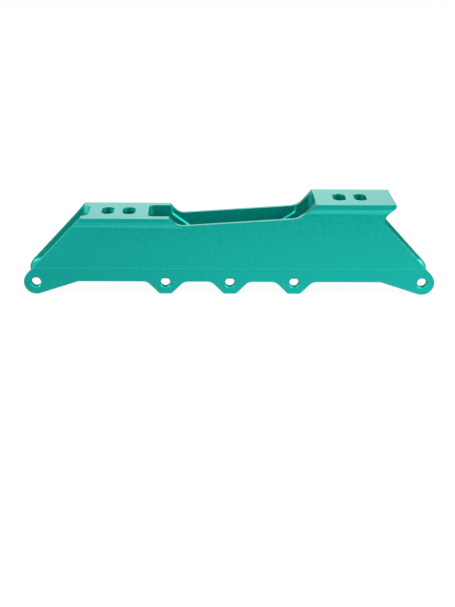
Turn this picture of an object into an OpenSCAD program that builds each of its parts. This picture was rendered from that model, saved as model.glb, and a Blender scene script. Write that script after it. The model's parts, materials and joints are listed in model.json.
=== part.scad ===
// Inline skate frame for four small wheels or three large ones.
// +X runs from toe to heel, +Y to the skate's right, +Z up. The origin is on the ground plane,
// under the middle axle. Heights named below are measured from the axle line.

/* [Axles] */
// Distance from the first axle to the last
wheelbase = 276; // [262:1:290]
// Distance between the axles next to the middle one and the middle one
inner_pitch = 46; // [42:0.5:50]
// Width between two facing axle bosses, which a wheel hub fits
hub_gap = 24.6; // [24:0.1:25.5]
// Plain axle hole in the right wall
axle_bore = 8.1; // [8:0.05:8.4]
// Tapped axle hole in the left wall, at the crest of its thread
tapped_bore = 6.8; // [6.6:0.05:7]
// Height of an axle boss above the wall's inner face
boss_height = 1.5; // [0.8:0.1:1.8]
// Diameter of the boss face that the bearing touches
boss_face = 13; // [11.5:0.5:14]
// Radius of the rounded wall end around the first and the last axle
lobe_radius = 8.8; // [8.5:0.1:10]
// Length of the flat under an inner axle
foot_flat = 8.5; // [6:0.5:11]
// Depth of that flat below the axle line
foot_depth = 8.4; // [7:0.1:8.5]

/* [Walls] */
// Thickness of a side wall at its lower band
wall = 3.4; // [3:0.1:4.5]
// How far the lower band stands out from the wall above it
band_step = 0.3; // [0.2:0.05:0.5]
// Top of the lower band above the axle line
band_top = 10.6; // [9:0.2:13]
// How much further out a wall stands at the heel plate's top than just above its lower band
wall_flare = 1.2; // [0.8:0.1:1.5]
// Lower edge of the wall above the axle line
wall_edge = 0.7; // [0:0.1:2]
// Distance from the middle axle to the bend where the lower edge drops to the end axles
bend_offset = 108; // [100:1:112]
// Radius between the lower edge and the feet under the inner axles
foot_blend = 7; // [4:0.5:8]
// Depth of the lightening relief inside each wall
relief_depth = 1.4; // [0.8:0.1:1.8]
// Width of the relief's slanted edge
relief_edge = 1.1; // [0.6:0.1:1.8]
// Height of the relief's lower end above the axle line
relief_floor = 17.5; // [15:0.5:24]
// Length of the relief at its lower end
relief_length = 19; // [12:1:30]
// Distance from the toe plate's rear edge to the relief
relief_toe_gap = 0.7; // [0.2:0.1:3]
// Distance from the heel plate's front edge to the relief
relief_heel_gap = 11.2; // [9:0.2:14]
// Height above the axle line at which the relief's side turns upright near the toe plate
relief_toe_shoulder = 44.3; // [42:0.1:46]
// The same near the heel plate
relief_heel_shoulder = 45.9; // [44:0.1:48]
// Corner radius of the relief
relief_corner = 3.4; // [1.6:0.2:4]

/* [Mount plates] */
// Distance between the middles of the toe and heel mounts
mount_spacing = 165; // [158:1:170]
// How far the mounts sit towards the heel from the middle axle
mount_shift = 2.75; // [0:0.25:5]
// Width of the mount plates
plate_width = 40.2; // [38:0.2:43]
// Height of the toe plate's top above the axle line
toe_height = 48.4; // [47:0.2:50]
// How much higher the heel plate is
heel_rise = 10.8; // [9:0.2:12]
// Toe plate from its mount's middle to its front edge
toe_front = 25.75; // [24:0.25:28]
// Toe plate from its mount's middle to its rear edge
toe_rear = 36.5; // [34:0.25:38]
// Heel plate from its mount's middle to its front edge
heel_front = 25.65; // [24.5:0.25:27]
// Heel plate from its mount's middle to its rear edge
heel_rear = 30.75; // [29:0.25:32]
// Height of the plate's upright outer edge
flange_edge = 3.4; // [2.4:0.2:4.6]
// Height of the cove between the plate's edge and the wall
cove_height = 5.8; // [4:0.2:7]
// Radius, seen from above, over which the plate's edge runs out into the wall at the waist
runout_radius = 28; // [16:1:40]

/* [Waist] */
// Drop from the toe plate to the open waist behind it
toe_drop = 6.2; // [5:0.1:8]
// Length of that drop
toe_drop_run = 6.3; // [5:0.1:8]
// Drop from the heel plate to the open waist before it
heel_drop = 11; // [10:0.2:12]
// Length of that drop
heel_drop_run = 10.2; // [9:0.1:12]
// Radius at the foot of the toe drop
toe_drop_radius = 10; // [5:0.5:12]
// Radius at the foot of the heel drop
heel_drop_radius = 16; // [8:0.5:18]

/* [Bridges] */
// Toe bridge from its mount's middle to its front end
toe_bridge_front = 20.75; // [19.5:0.25:22]
// Toe bridge from its mount's middle to its rear end
toe_bridge_rear = 21.4; // [20:0.1:23]
// Heel bridge from its mount's middle to its front end
heel_bridge_front = 25.35; // [24.25:0.05:25.5]
// Thickness of the toe bridge beside its pocket
toe_bridge_thick = 5.9; // [5:0.1:6.5]
// Thickness of the heel bridge beside its pocket
heel_bridge_thick = 10.1; // [9:0.1:11]
// Length of the slanted undercut at the heel plate's rear end, to its sharp corner
tail_undercut = 9.25; // [8:0.25:11]
// Height of the heel plate above that corner
tail_drop = 12.3; // [11.5:0.1:13]
// Radius at the root of the undercut
tail_radius = 5.8; // [4:0.2:7]
// Height of the heel plate's upright rear edge
tail_edge = 2.1; // [1.5:0.1:3]
// Corner radius at the toe bridge's front end
toe_front_corner = 7; // [4:0.5:8]
// Corner radius at the rear end of the toe bridge and the front end of the heel bridge
bridge_corner = 4; // [3:0.5:6]
// Radius along the corner between a bridge's underside and the walls
root_fillet = 2; // [1:0.5:3]

/* [Bolt slots] */
// Distance between the two slots of a mount
slot_pitch = 15; // [13:0.5:17]
// Width of a slot
slot_width = 8.8; // [8:0.1:9.5]
// Length of a slot, across the frame
slot_length = 16.6; // [14:0.2:18]
// Diameter of the washer seat cut under each slot
seat_diameter = 20; // [18:0.5:21]
// How far a washer seat's cutter travels across the frame
seat_travel = 4.6; // [3:0.2:6]
// Depth of the washer seats
seat_depth = 2.3; // [1.5:0.1:3]
// How far the heel seat runs on towards the toe
heel_seat_front = 5.5; // [3:0.5:7]
// How far the heel seat runs on towards the heel
heel_seat_rear = 8.3; // [6:0.1:10]
// Width of the groove that clears a wheel behind the toe seat
wheel_groove = 9; // [7:0.5:12]

/* [Hidden] */
$fn = 64;

// Overlap of shapes that are fused, and the reach of cuts past a face
bite = 1;
// How far the curves that run into a wall or a corner pass it, so that they cross it cleanly
sink = 0.1;
anodised = [0.08, 0.66, 0.61];

inner_half = hub_gap / 2 + boss_height;
band_half = inner_half + wall;
face_half = band_half - band_step;
plate_half = plate_width / 2;

toe_mount_x = mount_shift - mount_spacing / 2;
heel_mount_x = mount_shift + mount_spacing / 2;
heel_height = toe_height + heel_rise;
end_axle_x = wheelbase / 2;
axle_xs = [-end_axle_x, -inner_pitch, 0, inner_pitch, end_axle_x];
inner_axle_xs = [-inner_pitch, 0, inner_pitch];
frame_end = end_axle_x + lobe_radius;

toe_front_top = [toe_mount_x - toe_front, toe_height];
toe_rear_top = [toe_mount_x + toe_rear, toe_height];
heel_front_top = [heel_mount_x - heel_front, heel_height];
heel_rear_top = [heel_mount_x + heel_rear, heel_height];
toe_waist = toe_rear_top + [toe_drop_run, -toe_drop];
heel_waist = heel_front_top - [heel_drop_run, heel_drop];
heel_underside = heel_height - heel_bridge_thick;
toe_underside = toe_height - toe_bridge_thick;
tail_tip = heel_rear_top - [0, tail_edge];
tail_notch = heel_rear_top - [tail_undercut, tail_drop];
toe_bend = [-bend_offset, wall_edge];
heel_bend = [bend_offset, wall_edge];
foot_slope = foot_depth + wall_edge;

flange_height = flange_edge + cove_height;
seat_length = seat_diameter + seat_travel;

// Half width of the frame over a wall's outer face, at a height above the lower band
function wall_half(z) = face_half + wall_flare * (z - band_top) / (heel_height - band_top);

// Half width at which the curves end that run into a wall under a plate of the given height
function root_half(top) = wall_half(top - flange_height) - sink;

// Length over which a plate's edge runs out into the wall
function runout_length(top) =
    let (overhang = plate_half - root_half(top))
    sqrt(runout_radius ^ 2 - (runout_radius - overhang) ^ 2);

// Point where a line from p touches a circle, to its left (side 1) or right (side -1)
function touch(p, centre, radius, side) =
    let (
        d = centre - p,
        reach = sqrt(d * d - radius ^ 2),
        angle = atan2(d.y, d.x) + side * asin(radius / norm(d))
    )
    p + reach * [cos(angle), sin(angle)];

// Fillet of an inside corner: its end on the edge before the corner, its end on the edge after it,
// and its centre
function fillet(before, corner, after, radius) =
    let (
        u = (before - corner) / norm(before - corner),
        v = (after - corner) / norm(after - corner),
        half_angle = acos(u * v) / 2,
        reach = radius / tan(half_angle),
        middle = (u + v) / norm(u + v)
    )
    [corner + reach * u, corner + reach * v, corner + middle * radius / sin(half_angle)];

// Fillet beside the foot under an inner axle, on its toe side (-1) or its heel side (1)
function foot_fillet(x, side) =
    let (
        root = [x + side * (foot_flat / 2 + foot_slope), wall_edge],
        sole = [x + side * foot_flat / 2, -foot_depth]
    )
    fillet(root + [side, 0], root, sole, foot_blend);

// The foot under an inner axle, from toe to heel
function foot(x) =
    let (toe_side = foot_fillet(x, -1), heel_side = foot_fillet(x, 1))
    [
        toe_side[0],
        toe_side[1],
        [x - foot_flat / 2, -foot_depth],
        [x + foot_flat / 2, -foot_depth],
        heel_side[1],
        heel_side[0]
    ];

// Extrude a side view (X, Z) from one Y to another
module slab(y0, y1) {
    translate([0, y1, 0]) rotate([90, 0, 0]) linear_extrude(y1 - y0) children();
}

// Extrude a cross section (Y, Z) over the frame's length
module along_frame() {
    translate([-frame_end, 0, 0]) rotate([90, 0, 90]) linear_extrude(2 * frame_end) children();
}

// Side view of the whole frame. The polygon cuts each inside corner short between the ends of
// its fillet, and a circle then hollows the fillet out.
module side_outline() {
    toe_axle = [-end_axle_x, 0];
    heel_axle = [end_axle_x, 0];
    heel_rear_foot = touch(tail_notch, heel_axle, lobe_radius, 1);
    toe_fillet = fillet(toe_rear_top, toe_waist, heel_waist, toe_drop_radius);
    heel_fillet = fillet(toe_waist, heel_waist, heel_front_top, heel_drop_radius);
    tail_fillet = fillet(heel_rear_foot, tail_notch, tail_tip, tail_radius);
    difference() {
        union() {
            polygon([
                toe_axle,
                touch(toe_bend, toe_axle, lobe_radius, 1),
                toe_bend,
                for (x = inner_axle_xs) each foot(x),
                heel_bend,
                touch(heel_bend, heel_axle, lobe_radius, -1),
                heel_axle,
                heel_rear_foot,
                tail_fillet[0],
                tail_fillet[1],
                tail_tip,
                heel_rear_top,
                heel_front_top,
                heel_fillet[1],
                heel_fillet[0],
                toe_fillet[1],
                toe_fillet[0],
                toe_rear_top,
                toe_front_top,
                touch(toe_front_top, toe_axle, lobe_radius, -1)
            ]);
            translate(toe_axle) circle(lobe_radius);
            translate(heel_axle) circle(lobe_radius);
        }
        for (x = inner_axle_xs) {
            translate(foot_fillet(x, -1)[2]) circle(foot_blend);
            translate(foot_fillet(x, 1)[2]) circle(foot_blend);
        }
        translate(toe_fillet[2]) circle(toe_drop_radius);
        translate(heel_fillet[2]) circle(heel_drop_radius);
        translate(tail_fillet[2]) circle(tail_radius);
    }
}

// Cross section of a wall without its flange
module wall_section() {
    polygon([
        [inner_half, -lobe_radius],
        [band_half, -lobe_radius],
        [band_half, band_top],
        [face_half, band_top + band_step],
        [wall_half(heel_height), heel_height],
        [inner_half, heel_height]
    ]);
}

// Cross section of the flange that carries a mount plate's edge
module flange_section(top) {
    foot_z = top - flange_height;
    overhang = plate_half - root_half(top);
    cove_radius = (overhang ^ 2 + cove_height ^ 2) / (2 * overhang);
    translate([root_half(top), foot_z]) difference() {
        translate([-bite, 0]) square([overhang + bite, flange_height]);
        translate([cove_radius, 0]) circle(cove_radius);
    }
}

// The flange of the toe plate, which runs out into the wall behind the plate
module toe_flange() {
    run = runout_length(toe_height);
    intersection() {
        along_frame() flange_section(toe_height);
        linear_extrude(toe_height) translate([toe_rear_top.x, 0]) difference() {
            translate([-frame_end, 0]) square([frame_end + run, plate_half]);
            translate([run - sink, root_half(toe_height) + runout_radius]) circle(runout_radius);
        }
    }
}

// The flange of the heel plate, which runs out into the wall before the plate
module heel_flange() {
    run = runout_length(heel_height);
    intersection() {
        along_frame() flange_section(heel_height);
        linear_extrude(heel_height) translate([heel_front_top.x, 0]) difference() {
            translate([-run, 0]) square([frame_end + run, plate_half]);
            translate([sink - run, root_half(heel_height) + runout_radius]) circle(runout_radius);
        }
    }
}

// Chamfered pocket that thins the wall under the open waist
module waist_relief() {
    floor_z = relief_floor + relief_corner;
    floor_half = relief_length / 2 - relief_corner;
    toe_x = toe_rear_top.x + relief_toe_gap + relief_edge + relief_corner;
    heel_x = heel_front_top.x - relief_heel_gap - relief_edge - relief_corner;
    corners = [
        [-floor_half, floor_z],
        [floor_half, floor_z],
        [heel_x, relief_heel_shoulder],
        [heel_x, heel_height],
        [toe_x, heel_height],
        [toe_x, relief_toe_shoulder]
    ];
    reach = relief_depth + bite;
    hull() for (c = corners)
        translate([c.x, inner_half - bite, c.y]) rotate([-90, 0, 0])
            cylinder(
                h = reach,
                r1 = relief_corner + relief_edge * reach / relief_depth,
                r2 = relief_corner,
                $fn = 32
            );
}

// Cone-shaped bosses around the axles, rooted in the wall
module axle_bosses() {
    for (x = axle_xs) translate([x, inner_half + bite, 0]) rotate([90, 0, 0])
        cylinder(
            h = boss_height + bite,
            r1 = boss_face / 2 + boss_height + bite,
            r2 = boss_face / 2
        );
}

// A wall with its bosses and axle holes, on the skate's right
module side_wall(bore) {
    difference() {
        intersection() {
            slab(0, plate_half) side_outline();
            union() {
                along_frame() wall_section();
                toe_flange();
                heel_flange();
                axle_bosses();
            }
        }
        waist_relief();
        for (x = axle_xs) translate([x, 0, 0]) rotate([-90, 0, 0])
            cylinder(h = plate_half, d = bore);
    }
}

// Cut that ends a bridge square across, with rounded corners that run into the walls.
// It faces the toe (side -1) or the heel (side 1).
module end_cut(end, corner, side) {
    flat_half = inner_half - corner;
    translate([end, 0]) mirror([side < 0 ? 1 : 0, 0]) {
        translate([0, -flat_half]) square([corner + bite, 2 * flat_half]);
        translate([corner, -inner_half]) square([2 * frame_end, 2 * inner_half]);
        for (y = [-flat_half, flat_half]) translate([corner, y]) circle(corner);
    }
}

// Cross section of a bridge, with rounded roots along both walls
module bridge_section(underside, top) {
    translate([-inner_half, underside]) square([2 * inner_half, top - underside]);
    for (side = [0, 1]) mirror([side, 0]) difference() {
        translate([inner_half - root_fillet, underside - root_fillet])
            square([root_fillet, root_fillet + bite]);
        translate([inner_half - root_fillet, underside - root_fillet]) circle(root_fillet);
    }
}

// Bridge between the walls, trimmed by the side view and by the end cuts given
module bridge_body(underside, top) {
    difference() {
        intersection() {
            along_frame() bridge_section(underside, top);
            slab(-inner_half, inner_half) side_outline();
        }
        translate([0, 0, -frame_end]) linear_extrude(2 * frame_end) children();
    }
}

// A slot or seat across the frame
module across(width, length) {
    travel = length - width;
    square([width, travel], center = true);
    for (y = [-travel / 2, travel / 2]) translate([0, y]) circle(d = width);
}

// The same, run on along the frame
module across_and_on(width, length, run) {
    across(width, length);
    translate([run, 0]) across(width, length);
    translate([min(run, 0), -length / 2]) square([abs(run), length]);
}

// The two slots of a mount
module slot_pair(mount_x, underside, top) {
    for (side = [-1, 1])
        translate([mount_x + side * slot_pitch / 2, 0, underside])
            linear_extrude(top - underside + bite) across(slot_width, slot_length);
}

// Cut of the washer seats into a bridge's underside
module seat_cut(underside) {
    translate([0, 0, underside - root_fillet - bite])
        linear_extrude(seat_depth + root_fillet + bite) children();
}

module toe_mount_bridge() {
    front_slot_x = toe_mount_x - slot_pitch / 2;
    rear_slot_x = toe_mount_x + slot_pitch / 2;
    color(anodised) translate([0, 0, lobe_radius]) difference() {
        bridge_body(toe_underside, toe_height) {
            end_cut(toe_mount_x - toe_bridge_front, toe_front_corner, -1);
            end_cut(toe_mount_x + toe_bridge_rear, bridge_corner, 1);
        }
        slot_pair(toe_mount_x, toe_underside, toe_height);
        seat_cut(toe_underside) {
            for (x = [front_slot_x, rear_slot_x])
                translate([x, 0]) across(seat_diameter, seat_length);
            translate([rear_slot_x, -wheel_groove / 2]) square([toe_bridge_rear, wheel_groove]);
        }
    }
}

module heel_mount_bridge() {
    front_slot_x = heel_mount_x - slot_pitch / 2;
    rear_slot_x = heel_mount_x + slot_pitch / 2;
    color(anodised) translate([0, 0, lobe_radius]) difference() {
        bridge_body(heel_underside, heel_height)
            end_cut(heel_mount_x - heel_bridge_front, bridge_corner, -1);
        slot_pair(heel_mount_x, heel_underside, heel_height);
        seat_cut(heel_underside) {
            translate([front_slot_x, 0])
                across_and_on(seat_diameter, seat_length, -heel_seat_front);
            translate([rear_slot_x, 0])
                across_and_on(seat_diameter, seat_length, heel_seat_rear);
        }
    }
}

module right_side_wall() {
    color(anodised) translate([0, 0, lobe_radius]) side_wall(axle_bore);
}

module left_side_wall() {
    color(anodised) translate([0, 0, lobe_radius]) mirror([0, 1, 0]) side_wall(tapped_bore);
}

left_side_wall();
right_side_wall();
toe_mount_bridge();
heel_mount_bridge();
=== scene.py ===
# %% [markdown]
# # An inline skate frame in teal anodised aluminium
# A skate frame is the rail that carries the wheels under a boot. This one is milled from a single
# block of aluminium, blasted to a fine satin grain, and then anodised teal.
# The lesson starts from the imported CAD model, which already has every shape at its real size.
# Blender adds what a solid model lacks: one unbroken skin, broken edges, threads, and the finish.

# %% Load the frame
import json
import math

import bmesh
import bpy
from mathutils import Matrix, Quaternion, Vector
from mathutils.bvhtree import BVHTree
from mathutils.kdtree import KDTree


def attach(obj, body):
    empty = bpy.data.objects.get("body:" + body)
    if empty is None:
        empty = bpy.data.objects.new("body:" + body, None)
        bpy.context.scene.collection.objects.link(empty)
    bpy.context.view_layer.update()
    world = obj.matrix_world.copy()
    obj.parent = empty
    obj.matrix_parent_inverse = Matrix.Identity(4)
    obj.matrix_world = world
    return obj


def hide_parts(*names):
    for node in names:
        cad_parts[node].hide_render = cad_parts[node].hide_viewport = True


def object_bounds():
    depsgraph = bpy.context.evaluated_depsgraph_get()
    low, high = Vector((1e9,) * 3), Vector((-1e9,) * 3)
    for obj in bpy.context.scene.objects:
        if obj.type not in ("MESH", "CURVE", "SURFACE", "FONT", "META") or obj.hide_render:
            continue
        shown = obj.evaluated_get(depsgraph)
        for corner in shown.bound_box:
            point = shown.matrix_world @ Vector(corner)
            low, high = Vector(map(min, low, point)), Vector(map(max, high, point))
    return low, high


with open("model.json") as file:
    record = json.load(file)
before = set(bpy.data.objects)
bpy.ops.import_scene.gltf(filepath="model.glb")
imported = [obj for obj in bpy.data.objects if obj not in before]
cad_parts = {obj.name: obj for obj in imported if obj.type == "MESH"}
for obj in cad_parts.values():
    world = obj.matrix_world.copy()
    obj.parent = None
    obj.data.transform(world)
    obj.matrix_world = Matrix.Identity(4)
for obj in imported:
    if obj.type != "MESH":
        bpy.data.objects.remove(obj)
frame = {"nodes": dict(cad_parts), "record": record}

MM = 0.001
cad_low, cad_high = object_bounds()
print("CAD nodes:", sorted(frame["nodes"]))
print("CAD box, mm:", [round(side / MM, 1) for side in cad_high - cad_low])

# %% [markdown]
# The camera comes first, because every later choice is judged through it.
# The picture was taken from the frame's left side, a little above it, with a longish lens.
# A camera can be placed by its target, its distance and three angles, which stay readable when
# one of them needs a nudge. The lens shift moves the object up in the picture without tilting it.

# %% Camera
PICTURE_WIDTH, PICTURE_HEIGHT = 455, 607
SENSOR = 36.0
FOCAL_PIXELS = 1099.2
OPTICAL_AXIS_PIXEL = (229.9, 235.4)
CAMERA_TARGET = Vector((0, 0, 38.8 * MM))
CAMERA_DISTANCE = 792.8 * MM
CAMERA_ELEVATION = math.radians(18.22)
CAMERA_YAW = math.radians(1.42)
CAMERA_ROLL = math.radians(0.68)


def make_camera():
    looks = Vector((
        math.sin(CAMERA_YAW) * math.cos(CAMERA_ELEVATION),
        math.cos(CAMERA_YAW) * math.cos(CAMERA_ELEVATION),
        -math.sin(CAMERA_ELEVATION),
    ))
    lens = bpy.data.cameras.new("camera")
    lens.sensor_width = SENSOR
    lens.lens = FOCAL_PIXELS * SENSOR / PICTURE_HEIGHT
    lens.shift_x = (PICTURE_WIDTH / 2 - OPTICAL_AXIS_PIXEL[0]) / PICTURE_HEIGHT
    lens.shift_y = (OPTICAL_AXIS_PIXEL[1] - PICTURE_HEIGHT / 2) / PICTURE_HEIGHT
    camera = bpy.data.objects.new("camera", lens)
    camera.location = CAMERA_TARGET - CAMERA_DISTANCE * looks
    camera.rotation_mode = "QUATERNION"
    roll = Quaternion((0, 0, 1), CAMERA_ROLL)
    camera.rotation_quaternion = looks.to_track_quat("-Z", "Y") @ roll
    bpy.context.scene.collection.objects.link(camera)
    bpy.context.scene.camera = camera
    return camera


camera = make_camera()
print("Camera lens, mm:", round(camera.data.lens, 1))

# %% [markdown]
# On the real object the walls and bridges are one piece of metal, so no line may show where the
# CAD nodes meet. The nodes touch face to face, and a boolean union melts them into one skin.
# The imported meshes are split along their sharp edges, so their points are welded first, and the
# normals that came with them are dropped, because they no longer fit once the shape changes.

# %% One piece of metal
WELD = 0.002 * MM


def welded_copy(node):
    mesh = frame["nodes"][node].data.copy()
    cleaner = bmesh.new()
    cleaner.from_mesh(mesh)
    bmesh.ops.remove_doubles(cleaner, verts=cleaner.verts, dist=WELD)
    cleaner.to_mesh(mesh)
    cleaner.free()
    if "custom_normal" in mesh.attributes:
        mesh.attributes.remove(mesh.attributes["custom_normal"])
    piece = bpy.data.objects.new(node + "_copy", mesh)
    bpy.context.scene.collection.objects.link(piece)
    return piece


def evaluated_mesh(piece):
    """The piece's mesh with its modifiers worked in."""
    return bpy.data.meshes.new_from_object(
        piece.evaluated_get(bpy.context.evaluated_depsgraph_get()))


def combine(piece, others, operation):
    for other in others:
        boolean = piece.modifiers.new(operation.lower(), "BOOLEAN")
        boolean.operation = operation
        boolean.solver = "EXACT"
        boolean.object = other
    piece.data = evaluated_mesh(piece)
    piece.modifiers.clear()
    for other in others:
        bpy.data.objects.remove(other)


node_names = sorted(frame["nodes"])
skin = welded_copy(node_names[0])
skin.name = "skate_frame"
combine(skin, [welded_copy(node) for node in node_names[1:]], "UNION")
print("Skin faces after the union:", len(skin.data.polygons))

# %% [markdown]
# The union leaves many small triangles on flat faces. Dissolving them gives clean flats, which
# take a bevel better. A flat with hundreds of corners can still fold over when its border moves,
# so the skin is then cut into strips across its length, and any fold stays small and local.

# %% Clean flats in strips
SHORTEST_EDGE = 0.08 * MM
FLAT_ANGLE = math.radians(0.6)
STRIP = 11.5 * MM


def clean_flats(piece):
    cleaner = bmesh.new()
    cleaner.from_mesh(piece.data)
    bmesh.ops.remove_doubles(cleaner, verts=cleaner.verts, dist=SHORTEST_EDGE)
    bmesh.ops.dissolve_limit(
        cleaner, angle_limit=FLAT_ANGLE, verts=cleaner.verts, edges=cleaner.edges)
    strips = math.ceil(cad_high.x / STRIP)
    for number in range(-strips, strips + 1):
        bmesh.ops.bisect_plane(
            cleaner, geom=cleaner.verts[:] + cleaner.edges[:] + cleaner.faces[:],
            dist=WELD, plane_co=(number * STRIP, 0, 0), plane_no=(1, 0, 0))
    cleaner.to_mesh(piece.data)
    cleaner.free()


clean_flats(skin)
print("Skin faces in strips:", len(skin.data.polygons))

# %% [markdown]
# No machined edge is perfectly sharp. Blasting and anodising leave a small radius that catches
# the light, and that thin line is most of what makes metal look real.
# The sharp edges are grouped into runs first. A run goes on until it meets a corner or a junction,
# and one run keeps one radius, as one pass of a tool would leave it.

# %% Runs of sharp edges
SHARP_ANGLE = math.radians(33)
CORNER_ANGLE = math.radians(40)


def carries_on(edge, point, sharp):
    """The sharp edge past a point, or None at a corner or a junction."""
    onward = [other for other in point.link_edges if other in sharp and other is not edge]
    if len(onward) != 1:
        return None
    arrives = (point.co - edge.other_vert(point).co).normalized()
    leaves = (onward[0].other_vert(point).co - point.co).normalized()
    return onward[0] if arrives.dot(leaves) > math.cos(CORNER_ANGLE) else None


def sharp_runs(mesh):
    """Lists of edge numbers, one list for each run, and the end points of each edge."""
    shape = bmesh.new()
    shape.from_mesh(mesh)
    sharp = {edge for edge in shape.edges if edge.calc_face_angle(0) > SHARP_ANGLE}
    ends = {edge.index: [point.co.copy() for point in edge.verts] for edge in sharp}
    runs, done = [], set()
    for first in sorted(sharp, key=lambda edge: edge.index):
        if first in done:
            continue
        done.add(first)
        run = [first.index]
        for point in first.verts:
            edge = first
            while (edge := carries_on(edge, point, sharp)) and edge not in done:
                done.add(edge)
                run.append(edge.index)
                point = edge.other_vert(point)
        runs.append(run)
    shape.free()
    return runs, ends


runs, run_ends = sharp_runs(skin.data)
print("Runs of sharp edges:", len(runs))

# %% [markdown]
# Where two runs lie closer than the radius, a bevel folds over itself. Working out the room at
# every point is hard, but testing a bevel is easy: a good one never strays from the sharp skin.
# So each try is measured against the sharp skin. A run that is near a fault gets half the radius
# at the next try, and stays sharp if even that doesn't fit. The low step along the outside of the
# walls is lower than the radius, so its two edges stay sharp from the start.

# %% Broken edges
EDGE_RADIUS = 0.4 * MM
EDGE_STEPS = 3
FARTHEST_STRAY = 0.45 * EDGE_RADIUS
LEAST_AGREEMENT = 0.1
NEAR_FAULT = 0.8 * MM
SHARES = (1.0, 0.5, 0.0)
TRIES = 4
BAND_TOP = 19.4 * MM
BAND_STEP = 0.3 * MM


def is_band_step(run):
    """True for an edge of the low step, which lies between the band and the wall above it."""
    heights = [point.z for edge in run for point in run_ends[edge]]
    return min(heights) > BAND_TOP - BAND_STEP / 2 and max(heights) < BAND_TOP + 1.5 * BAND_STEP


def bevelled(piece, shares):
    values = [0.0] * len(piece.data.edges)
    for run, share in zip(runs, shares):
        for number in run:
            values[number] = share
    piece.data.attributes["bevel_weight_edge"].data.foreach_set("value", values)
    bevel = piece.modifiers.new("broken_edges", "BEVEL")
    bevel.width = EDGE_RADIUS
    bevel.segments = EDGE_STEPS
    bevel.limit_method = "WEIGHT"
    bevel.miter_outer = "MITER_ARC"
    bevel.use_clamp_overlap = False
    mesh = evaluated_mesh(piece)
    piece.modifiers.clear()
    return mesh


def bevel_faults(mesh, sharp_skin):
    """Points where a bevelled mesh strays from the sharp skin or folds over it."""
    faults = []
    mesh.calc_loop_triangles()
    for triangle in mesh.loop_triangles:
        if triangle.area < WELD ** 2:
            continue
        a, b, c = (mesh.vertices[number].co for number in triangle.vertices)
        centre = (a + b + c) / 3
        normal, away = sharp_skin.find_nearest(centre)[1::2]
        middles = ((a + b) / 2, (b + c) / 2, (c + a) / 2)
        stray = max(away, *(sharp_skin.find_nearest(middle)[3] for middle in middles))
        if stray > FARTHEST_STRAY or normal.dot(triangle.normal) < LEAST_AGREEMENT:
            faults.append(centre)
    return faults


def run_finder():
    """A tree of points along the runs, and the run that each of them is on."""
    points = []
    for number, run in enumerate(runs):
        for edge in run:
            start, end = run_ends[edge]
            count = math.ceil((end - start).length / EDGE_RADIUS) + 1
            points += [(start.lerp(end, k / count), number) for k in range(count + 1)]
    tree = KDTree(len(points))
    for number, (place, run) in enumerate(points):
        tree.insert(place, number)
    tree.balance()
    return tree, [run for place, run in points]


def break_edges(piece):
    sharp_shape = bmesh.new()
    sharp_shape.from_mesh(piece.data)
    sharp_skin = BVHTree.FromBMesh(sharp_shape)
    sharp_shape.free()
    piece.data.attributes.new("bevel_weight_edge", "FLOAT", "EDGE")
    tree, run_at = run_finder()
    steps = [len(SHARES) - 1 if is_band_step(run) else 0 for run in runs]
    for number in range(TRIES):
        mesh = bevelled(piece, [SHARES[step] for step in steps])
        faults = bevel_faults(mesh, sharp_skin)
        print("Bevel try", number + 1, "has", len(faults), "faults")
        crowded = {run_at[hit[1]] for fault in faults for hit in tree.find_range(fault, NEAR_FAULT)}
        if number < TRIES - 1:
            for run in crowded:
                steps[run] = min(steps[run] + 1, len(SHARES) - 1)
    piece.data = mesh
    print("Runs at full, half and no radius:", [steps.count(step) for step in range(len(SHARES))])


break_edges(skin)
print("Skin faces with broken edges:", len(skin.data.polygons))

# %% [markdown]
# The five holes in the near wall are tapped, so that an axle bolt put in from the other side can
# be screwed home. A thread could be painted on as bump, but its flanks catch real light in the
# holes, so it is cut: a ridge with the thread's section is swept along a helix and subtracted.
# A small cone goes in first, because a tap starts cleanly only in a countersunk hole.
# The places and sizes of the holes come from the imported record, which lists them as mounts.

# %% Threads
TAPPED_HOLES = [hole for hole in frame["record"]["mounts"] if hole["kind"] == "threaded_hole"]
AXLE_PLACES = [hole["pos_m"][0] for hole in TAPPED_HOLES]
AXLE_HEIGHT = TAPPED_HOLES[0]["pos_m"][2]
WALL_MIDDLE = TAPPED_HOLES[0]["pos_m"][1]
HOLE_LENGTH = TAPPED_HOLES[0]["dims"]["length_mm"] * MM
WALL_OUTSIDE = WALL_MIDDLE - HOLE_LENGTH / 2
WALL_INSIDE = WALL_MIDDLE + HOLE_LENGTH / 2
DRILLED_RADIUS = TAPPED_HOLES[0]["dims"]["r_mm"] * MM
THREAD_RADIUS = 4.0 * MM
THREAD_PITCH = 1.25 * MM
THREAD_BITE = 0.15 * MM
COUNTERSINK = 0.75 * MM
TURN_STEPS = 40


def cutter_from(shape, name):
    bmesh.ops.recalc_face_normals(shape, faces=shape.faces)
    mesh = bpy.data.meshes.new(name)
    shape.to_mesh(mesh)
    shape.free()
    cutter = bpy.data.objects.new(name, mesh)
    bpy.context.scene.collection.objects.link(cutter)
    return cutter


def countersink_cutter():
    """Cones that stand a little out of the wall, so that they cut its face cleanly."""
    shape = bmesh.new()
    for place in AXLE_PLACES:
        rings = []
        for reach in (-COUNTERSINK, COUNTERSINK):
            radius = DRILLED_RADIUS + COUNTERSINK - reach
            rings.append([
                shape.verts.new((
                    place + radius * math.cos(2 * math.pi * k / TURN_STEPS), WALL_OUTSIDE + reach,
                    AXLE_HEIGHT + radius * math.sin(2 * math.pi * k / TURN_STEPS)))
                for k in range(TURN_STEPS)])
        for k in range(TURN_STEPS):
            following = (k + 1) % TURN_STEPS
            shape.faces.new((rings[0][k], rings[0][following], rings[1][following], rings[1][k]))
        shape.faces.new(rings[0][::-1])
        shape.faces.new(rings[1])
    return cutter_from(shape, "countersink_cutter")


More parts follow.
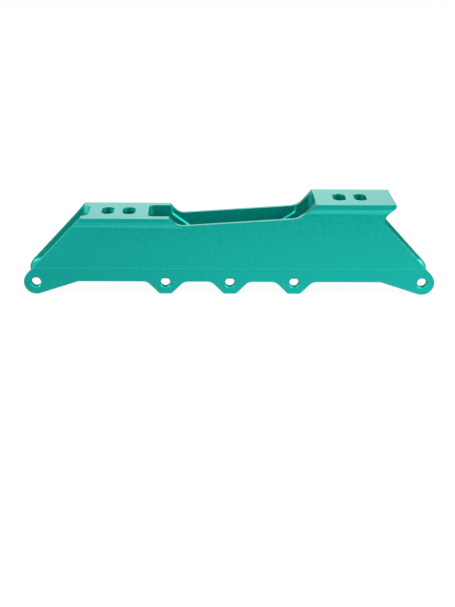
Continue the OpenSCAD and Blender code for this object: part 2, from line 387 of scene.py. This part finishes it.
def thread_section():
    """Points (radius, place along the axis) of the ridge that cuts the thread.

    The groove is an eighth of a pitch wide at its bottom and three quarters at the drilled hole.
    """
    tip = THREAD_PITCH / 8 / 2
    mouth = THREAD_PITCH * 3 / 4 / 2
    flank = (mouth - tip) / (THREAD_RADIUS - DRILLED_RADIUS)
    foot = mouth + flank * THREAD_BITE
    inner = DRILLED_RADIUS - THREAD_BITE
    return [(inner, -foot), (THREAD_RADIUS, -tip), (THREAD_RADIUS, tip), (inner, foot)]


def thread_cutter():
    section = thread_section()
    start, end = WALL_OUTSIDE - THREAD_PITCH, WALL_INSIDE + THREAD_PITCH
    rings = round((end - start) / THREAD_PITCH * TURN_STEPS)
    shape = bmesh.new()
    for place in AXLE_PLACES:
        loops = []
        for ring in range(rings + 1):
            turn = 2 * math.pi * ring / TURN_STEPS
            along = start + THREAD_PITCH * ring / TURN_STEPS
            loops.append([
                shape.verts.new((
                    place + radius * math.cos(turn), along + offset,
                    AXLE_HEIGHT + radius * math.sin(turn)))
                for radius, offset in section])
        for before, after in zip(loops, loops[1:]):
            for k in range(len(section)):
                following = (k + 1) % len(section)
                shape.faces.new((before[k], before[following], after[following], after[k]))
        shape.faces.new(loops[0][::-1])
        shape.faces.new(loops[-1])
    return cutter_from(shape, "thread_cutter")


combine(skin, [countersink_cutter(), thread_cutter()], "DIFFERENCE")
print("Skin faces with threads:", len(skin.data.polygons))

# %% [markdown]
# Each cut leaves some points on top of each other, and between them faces without any area. They
# don't show in a picture, but they spoil the mesh for anyone who wants to print or measure it,
# so the points are welded and the empty faces dissolved.

# %% No slivers
def drop_slivers(piece):
    cleaner = bmesh.new()
    cleaner.from_mesh(piece.data)
    bmesh.ops.remove_doubles(cleaner, verts=cleaner.verts, dist=WELD)
    bmesh.ops.dissolve_degenerate(cleaner, edges=cleaner.edges, dist=WELD)
    cleaner.to_mesh(piece.data)
    cleaner.free()


drop_slivers(skin)
print("Skin faces without slivers:", len(skin.data.polygons))

# %% [markdown]
# Smooth shading blends the light over neighbouring faces, which would bend it on the flats too.
# Weighted normals let the large faces win, so the flats stay flat and only the radii turn.

# %% Shading normals
CREASE_ANGLE = math.radians(35)
LARGE_FACE_WEIGHT = 80


def settle_normals(piece):
    for face in piece.data.polygons:
        face.use_smooth = True
    piece.data.set_sharp_from_angle(angle=CREASE_ANGLE)
    weighted = piece.modifiers.new("weighted_normals", "WEIGHTED_NORMAL")
    weighted.mode = "FACE_AREA"
    weighted.weight = LARGE_FACE_WEIGHT
    weighted.keep_sharp = True
    piece.data = evaluated_mesh(piece)
    piece.modifiers.clear()


settle_normals(skin)
print("Skin has set normals:", skin.data.has_custom_normals)

# %% [markdown]
# Blasting leaves tiny dents, far finer than a millimetre, and the dye takes a little unevenly.
# Both are the same kind of pattern at two sizes, so one node group makes them: a fine grain for
# the dents and a coarse cloud for the dye. The group works in object space, in real metres.

# %% Grain of the blasted metal
PATTERNS = (
    ("Grain", "Dents per metre", 4000.0, 2.0),
    ("Cloud", "Clouds per metre", 700.0, 3.0),
)


def blasted_grain_group():
    group = bpy.data.node_groups.new("blasted_grain", "ShaderNodeTree")
    for name, count_name, count, detail in PATTERNS:
        socket = group.interface.new_socket(
            count_name, in_out="INPUT", socket_type="NodeSocketFloat")
        socket.default_value = count
        group.interface.new_socket(name, in_out="OUTPUT", socket_type="NodeSocketFloat")
    nodes, links = group.nodes, group.links
    inputs = nodes.new("NodeGroupInput")
    outputs = nodes.new("NodeGroupOutput")
    place = nodes.new("ShaderNodeTexCoord")
    for name, count_name, count, detail in PATTERNS:
        noise = nodes.new("ShaderNodeTexNoise")
        noise.inputs["Detail"].default_value = detail
        links.new(place.outputs["Object"], noise.inputs["Vector"])
        links.new(inputs.outputs[count_name], noise.inputs["Scale"])
        links.new(noise.outputs["Fac"], outputs.inputs[name])
    return group


blasted_grain = blasted_grain_group()
print("Node group:", blasted_grain.name)

# %% [markdown]
# Anodising is a clear, dyed oxide on bare aluminium. Light passes the dye twice, so the metal
# itself looks teal, and the top of the oxide adds a faint colourless gloss.
# A metallic base with a thin coat does the same: seen straight on it is deep teal, and at a
# grazing angle, as on the mounting plates, the coat turns it pale.

# %% Teal anodised finish
DEEP_TEAL = (0.002, 0.28, 0.24, 1)
LIGHT_TEAL = (0.007, 0.44, 0.38, 1)
SMOOTHEST = 0.50
ROUGHEST = 0.64
OXIDE_WEIGHT = 0.5
OXIDE_ROUGHNESS = 0.18
OXIDE_IOR = 1.2
DENT_DEPTH = 0.02 * MM
DENT_STRENGTH = 0.25


def anodised_teal():
    material = bpy.data.materials.new("anodised_teal")
    material.use_nodes = True
    nodes, links = material.node_tree.nodes, material.node_tree.links
    shader = nodes["Principled BSDF"]
    shader.inputs["Metallic"].default_value = 1.0
    shader.inputs["Coat Weight"].default_value = OXIDE_WEIGHT
    shader.inputs["Coat Roughness"].default_value = OXIDE_ROUGHNESS
    shader.inputs["Coat IOR"].default_value = OXIDE_IOR
    grain = nodes.new("ShaderNodeGroup")
    grain.node_tree = blasted_grain
    dye = nodes.new("ShaderNodeMix")
    dye.data_type = "RGBA"
    dye.inputs["A"].default_value = DEEP_TEAL
    dye.inputs["B"].default_value = LIGHT_TEAL
    links.new(grain.outputs["Cloud"], dye.inputs["Factor"])
    links.new(dye.outputs["Result"], shader.inputs["Base Color"])
    rough = nodes.new("ShaderNodeMapRange")
    rough.inputs["To Min"].default_value = SMOOTHEST
    rough.inputs["To Max"].default_value = ROUGHEST
    links.new(grain.outputs["Grain"], rough.inputs["Value"])
    links.new(rough.outputs["Result"], shader.inputs["Roughness"])
    dents = nodes.new("ShaderNodeBump")
    dents.inputs["Strength"].default_value = DENT_STRENGTH
    dents.inputs["Distance"].default_value = DENT_DEPTH
    links.new(grain.outputs["Grain"], dents.inputs["Height"])
    links.new(dents.outputs["Normal"], shader.inputs["Normal"])
    return material


skin.data.materials.clear()
skin.data.materials.append(anodised_teal())
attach(skin, "root")
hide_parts(*node_names)
print("Finish:", skin.data.materials[0].name)

# %% [markdown]
# Bare metal is a soft mirror, so what stands around it matters as much as its own colour.
# The sky could be a picture of a studio, but a plain white one is enough: at a strength of 1 it
# is white to the camera and lights the metal evenly, so the teal renders about as it is written.

# %% White sky
def white_sky():
    sky = bpy.data.worlds.new("white_sky")
    sky.use_nodes = True
    background = sky.node_tree.nodes["Background"]
    background.inputs["Color"].default_value = (1, 1, 1, 1)
    background.inputs["Strength"].default_value = 1.0
    bpy.context.scene.world = sky
    return sky


bpy.context.scene.view_settings.view_transform = "Standard"
print("Sky:", white_sky().name)

# %% [markdown]
# In a studio the paper under the object is brightest near the lamps and falls off towards the
# room. The walls mirror that paper, so the fall-off shades them from end to end.
# Lamps could make such a pool of light, but they would light the frame as well. So the pool is
# worked out in the paper's material, as a soft oval that lies a little to the right.

# %% Pool of light
POOL_MIDDLE = (0.15, -0.02, 0.0)
POOL_REACH = (0.66, 0.33, 1.0)
POOL_NEAR = 1.45
POOL_FAR = 0.15


def pool_of_light(nodes, links):
    """How bright a reflection sees the paper: most near the frame, less towards the room."""
    place = nodes.new("ShaderNodeTexCoord").outputs["Object"]
    for operation, value in (("SUBTRACT", POOL_MIDDLE), ("DIVIDE", POOL_REACH)):
        step = nodes.new("ShaderNodeVectorMath")
        step.operation = operation
        step.inputs[1].default_value = value
        links.new(place, step.inputs[0])
        place = step.outputs["Vector"]
    length = nodes.new("ShaderNodeVectorMath")
    length.operation = "LENGTH"
    links.new(place, length.inputs[0])
    fade = nodes.new("ShaderNodeMapRange")
    fade.interpolation_type = "SMOOTHSTEP"
    fade.inputs["To Min"].default_value = POOL_NEAR
    fade.inputs["To Max"].default_value = POOL_FAR
    links.new(length.outputs["Value"], fade.inputs["Value"])
    return fade.outputs["Result"]


print("Pool of light, from and to:", POOL_NEAR, POOL_FAR)

# %% [markdown]
# The frame stands on white paper. More light would make the paper white, but it would bleach the
# frame too, so most of the white is the paper's own: Light Path tells the rays of the camera and
# of reflections from all others, and the paper glows for those alone. The rest is plain paper,
# which takes the soft shadow. From below it is clear, so that the underside can be looked at.

# %% White paper
FLOOR_HALF = 3.0
PAPER_WHITE = (0.95, 0.95, 0.95, 1)
OWN_WHITE = 0.9


def larger(nodes, links, first, second):
    node = nodes.new("ShaderNodeMath")
    node.operation = "MAXIMUM"
    links.new(first, node.inputs[0])
    links.new(second, node.inputs[1])
    return node.outputs["Value"]


def mixed(nodes, links, share, first, second):
    node = nodes.new("ShaderNodeMixShader")
    links.new(share, node.inputs["Fac"])
    links.new(first, node.inputs[1])
    links.new(second, node.inputs[2])
    return node.outputs["Shader"]


def white_paper():
    material = bpy.data.materials.new("white_paper")
    material.use_nodes = True
    nodes, links = material.node_tree.nodes, material.node_tree.links
    paper = nodes["Principled BSDF"]
    paper.inputs["Base Color"].default_value = PAPER_WHITE
    paper.inputs["Roughness"].default_value = 1.0
    paper.inputs["Specular IOR Level"].default_value = 0.0
    ray = nodes.new("ShaderNodeLightPath").outputs
    mirrored = larger(nodes, links, ray["Is Glossy Ray"], ray["Is Transmission Ray"])
    looked_at = larger(nodes, links, ray["Is Camera Ray"], mirrored)
    level = nodes.new("ShaderNodeMix")
    level.inputs["A"].default_value = 1.0
    links.new(mirrored, level.inputs["Factor"])
    links.new(pool_of_light(nodes, links), level.inputs["B"])
    glow = nodes.new("ShaderNodeEmission")
    links.new(level.outputs["Result"], glow.inputs["Strength"])
    share = nodes.new("ShaderNodeMath")
    share.operation = "MULTIPLY"
    share.inputs[1].default_value = OWN_WHITE
    links.new(looked_at, share.inputs[0])
    white = mixed(nodes, links, share.outputs["Value"], paper.outputs["BSDF"],
                  glow.outputs["Emission"])
    from_below = nodes.new("ShaderNodeNewGeometry").outputs["Backfacing"]
    clear = nodes.new("ShaderNodeBsdfTransparent").outputs["BSDF"]
    links.new(mixed(nodes, links, from_below, white, clear),
              nodes["Material Output"].inputs["Surface"])
    return material


def paper_floor():
    mesh = bpy.data.meshes.new("paper_floor")
    mesh.from_pydata(
        [(-FLOOR_HALF, -FLOOR_HALF, 0), (FLOOR_HALF, -FLOOR_HALF, 0),
         (FLOOR_HALF, FLOOR_HALF, 0), (-FLOOR_HALF, FLOOR_HALF, 0)],
        [], [(0, 1, 2, 3)])
    mesh.materials.append(white_paper())
    floor = bpy.data.objects.new("paper_floor", mesh)
    bpy.context.scene.collection.objects.link(floor)
    return floor


print("Floor:", paper_floor().name)

# %% [markdown]
# Four soft boxes light the frame. One hangs above it. One stands low behind it, where the
# mounting plates mirror it and turn pale. One at each side in front draws the slanted faces and
# the rims of the holes. Their light adds up with the sky, so they are given by their radiance,
# which says how bright the metal sees them, and not by a power that changes with their size.
# One more lamp washes the paper alone and lightens the shadow, so reflections don't see it.

# %% Soft boxes
def soft_box(name, towards, distance, width, height, radiance):
    lamp = bpy.data.lights.new(name, "AREA")
    lamp.shape = "RECTANGLE"
    lamp.size = width
    lamp.size_y = height
    lamp.energy = radiance * math.pi * width * height
    box = bpy.data.objects.new(name, lamp)
    direction = Vector(towards).normalized()
    box.location = CAMERA_TARGET + distance * direction
    box.rotation_mode = "QUATERNION"
    box.rotation_quaternion = (-direction).to_track_quat("-Z", "Y")
    box.visible_camera = False
    bpy.context.scene.collection.objects.link(box)
    return box


soft_boxes = [
    soft_box("soft_box_above", towards=(0.1, -0.25, 1.0), distance=0.8,
             width=0.7, height=0.5, radiance=1.6),
    soft_box("soft_box_behind", towards=(0, 0.95, 0.31), distance=1.5,
             width=0.9, height=0.4, radiance=2.0),
    soft_box("soft_box_left", towards=(-0.82, -0.25, 0.52), distance=0.9,
             width=0.4, height=0.4, radiance=9.0),
    soft_box("soft_box_right", towards=(0.82, -0.25, 0.52), distance=0.9,
             width=0.4, height=0.4, radiance=13.0),
]
paper_wash = soft_box("paper_wash", towards=(0.3, -0.5, 0.8), distance=0.4,
                      width=0.4, height=0.15, radiance=4.0)
paper_wash.visible_glossy = False
print("Soft boxes:", len(soft_boxes), "and a wash for the paper")

# %% [markdown]
# The flanges overhang the walls, and the round wall ends lie low, so lamps from above leave both
# dull. A photographer slides narrow reflectors in from below, and here five flat lamps lie on the
# paper and shine up. The long ones beside the walls light the coves under the flanges, and the
# ones past the toe and the heel light the edges of the round ends. The small bright one lies
# where the rounded corner of the toe bridge mirrors it.

# %% Reflectors on the floor
REFLECTOR_HEIGHT = 0.5 * MM


def floor_reflector(name, along, across, width, depth, radiance, spread):
    lamp = soft_box(name, (0, 0, -1), 0, width, depth, radiance)
    lamp.location = (along, across, REFLECTOR_HEIGHT)
    lamp.rotation_quaternion = Quaternion((1, 0, 0), math.pi)
    lamp.data.spread = math.radians(spread)
    return lamp


reflectors = [
    floor_reflector("reflector_" + side, along, across, width, depth, radiance, spread)
    for side, along, across, width, depth, radiance, spread in (
        ("front", 0, -0.056, 0.5, 0.05, 0.5, 100),
        ("back", 0, 0.056, 0.5, 0.05, 0.5, 100),
        ("toe", -0.27, 0, 0.14, 0.2, 2.0, 170),
        ("heel", 0.27, 0, 0.14, 0.2, 2.0, 170),
        ("corner", -0.25, -0.085, 0.06, 0.06, 22.0, 170),
    )]
print("Reflectors on the floor:", len(reflectors))

# %% [markdown]
# Metal that sees only white looks flat, because its edges have nothing dark to show. A
# photographer puts black cards around it, outside the picture. One stands behind the camera.
# Two tall ones stand at the back corners, where the long slanted edges at the toe and the tail
# mirror them: those edges are seen at a very flat angle, and would otherwise shine white.
# Only reflections see the cards, so they take no light from the paper.

# %% Black cards
CARD_BLACK = (0.02, 0.02, 0.02, 1)
CARD_ROUGHNESS = 0.9


def card_paper():
    material = bpy.data.materials.new("black_card")
    material.use_nodes = True
    shader = material.node_tree.nodes["Principled BSDF"]
    shader.inputs["Base Color"].default_value = CARD_BLACK
    shader.inputs["Roughness"].default_value = CARD_ROUGHNESS
    return material


def black_card(name, towards, distance, width, low, high):
    direction = Vector((*towards, 0)).normalized()
    middle = direction * distance
    across = Vector((-direction.y, direction.x, 0)) * width / 2
    foot, top = Vector((0, 0, low)), Vector((0, 0, high))
    mesh = bpy.data.meshes.new(name)
    mesh.from_pydata(
        [middle - across + foot, middle + across + foot, middle + across + top,
         middle - across + top], [], [(0, 1, 2, 3)])
    mesh.materials.append(black)
    card = bpy.data.objects.new(name, mesh)
    card.visible_camera = False
    card.visible_diffuse = False
    card.visible_shadow = False
    bpy.context.scene.collection.objects.link(card)
    return card


black = card_paper()
black_cards = [
    black_card("black_card_front", towards=(0, -1), distance=1.3, width=1.4, low=0.4, high=1.3),
    black_card("black_card_back_left", towards=(-0.62, 0.78), distance=1.5, width=1.3,
               low=0.0, high=1.1),
    black_card("black_card_back_right", towards=(0.62, 0.78), distance=1.5, width=1.3,
               low=0.0, high=1.1),
]
print("Black cards:", len(black_cards))
